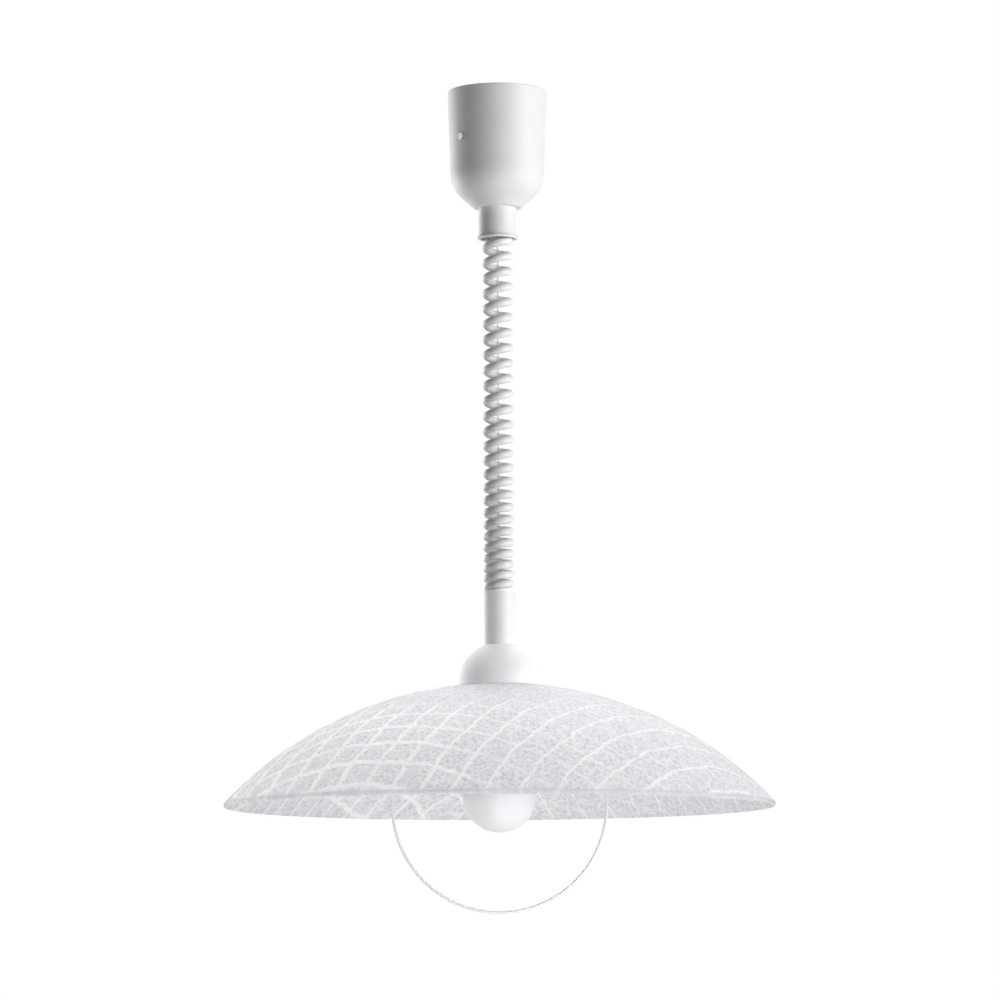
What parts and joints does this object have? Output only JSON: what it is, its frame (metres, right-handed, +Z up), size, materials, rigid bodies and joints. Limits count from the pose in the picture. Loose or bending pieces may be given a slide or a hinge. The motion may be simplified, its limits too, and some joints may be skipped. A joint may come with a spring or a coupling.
{
  "type": "rise and fall pendant",
  "caption": "Rise and fall pendant light: ceiling cup with a spring reel, curly flex with a support cord, short stem and dome, wide shallow glass shade, globe lamp and wire pull bow.",
  "frame": {"origin": "middle of the ceiling cup's open top, on the ceiling's face, between the two ceiling fixing holes", "axes": "+Z up into the ceiling and along the pendant's own axis, +X to the viewer's right in the plane of the bow, +Y away from the viewer"},
  "size_m": [0.401, 0.401, 0.6061],
  "materials": {
    "white_plastic": "gloss, moulded, white",
    "nylon": "matt, moulded, natural",
    "zinc_steel": "zinc plated",
    "brass": "machined",
    "flex_pvc": "satin, extruded, white",
    "brown_insulation": "satin, extruded",
    "blue_insulation": "satin, extruded",
    "cord_nylon": "braided",
    "holder_plastic": "gloss, moulded, white",
    "ceramic": "glazed, opaque",
    "gasket_rubber": "matt",
    "shade_glass": "frosted, fine crackle with a faint lattice",
    "bow_wire": "white powder coat",
    "opal_glass": "opal, satin"
  },
  "bodies": {
    "ceiling_unit": {"mounting_bracket": "zinc_steel", "clamp_bolts": "zinc_steel", "clamp_nuts": "zinc_steel", "reel_frame": "zinc_steel", "cord_guide": "nylon", "guide_screws": "zinc_steel", "reel_axle": "zinc_steel", "axle_clips": "zinc_steel", "friction_washer": "nylon", "terminal_block": "nylon", "terminal_barrels": "brass", "terminal_screws": "zinc_steel", "block_screw": "zinc_steel", "cord_grip": "nylon", "grip_screws": "zinc_steel", "upper_flex_lead": "flex_pvc", "upper_brown_core": "brown_insulation", "upper_blue_core": "blue_insulation", "spiral_flex": "flex_pvc", "support_cord": "cord_nylon"},
    "reel": {"reel_drum": "nylon", "spring_cover": "nylon", "power_spring": "zinc_steel", "cord_winding": "cord_nylon"},
    "cup": {"ceiling_cup": "white_plastic", "outlet_sleeve": "white_plastic", "sleeve_ring": "white_plastic", "lock_screws": "zinc_steel"},
    "lamp": {"stem_tube": "white_plastic", "stem_plug": "nylon", "cord_ferrule": "zinc_steel", "lower_flex_lead": "flex_pvc", "lower_brown_core": "brown_insulation", "lower_blue_core": "blue_insulation", "stem_base": "nylon", "threaded_nipple": "zinc_steel", "dome_cover": "white_plastic", "nipple_nut": "zinc_steel", "holder_cap": "holder_plastic", "holder_core": "ceramic", "holder_terminals": "brass", "holder_screws": "zinc_steel", "centre_contact": "brass", "screw_shell": "brass", "holder_skirt": "holder_plastic", "upper_gasket": "gasket_rubber", "lower_gasket": "gasket_rubber", "shade_ring": "holder_plastic", "glass_shade": "shade_glass", "bow_bracket": "bow_wire"},
    "bow": {"pull_bow": "bow_wire"},
    "bulb": {"bulb_glass": "opal_glass", "bulb_cap": "zinc_steel", "bulb_insulator": "ceramic", "bulb_contact": "brass"}
  },
  "joints": [
    {"name": "height_slide", "type": "slide", "parent": "ceiling_unit", "child": "lamp", "axis": [0, 0, -1], "range_m": [0, 0.6], "deforming": ["spiral_flex", "support_cord"]},
    {"name": "reel_spin", "type": "hinge", "parent": "ceiling_unit", "child": "reel", "pos_m": [0.00736, -0.00817, -0.04], "axis": [-0.7431, -0.6691, 0], "range_deg": [0, 3130]},
    {"name": "cup_drop", "type": "slide", "parent": "ceiling_unit", "child": "cup", "axis": [0, 0, -1], "range_m": [0, 0.09]},
    {"name": "bow_swing", "type": "hinge", "parent": "lamp", "child": "bow", "pos_m": [0, 0, -0.4641], "axis": [1, 0, 0], "range_deg": [-78, 78]},
    {"name": "bulb_unscrew", "type": "slide", "parent": "lamp", "child": "bulb", "axis": [0, 0, -1], "range_m": [0, 0.03]}
  ],
  "couplings": [
    {"joint": "reel_spin", "follows": "height_slide", "rad_per_m": 90.909}
  ]
}
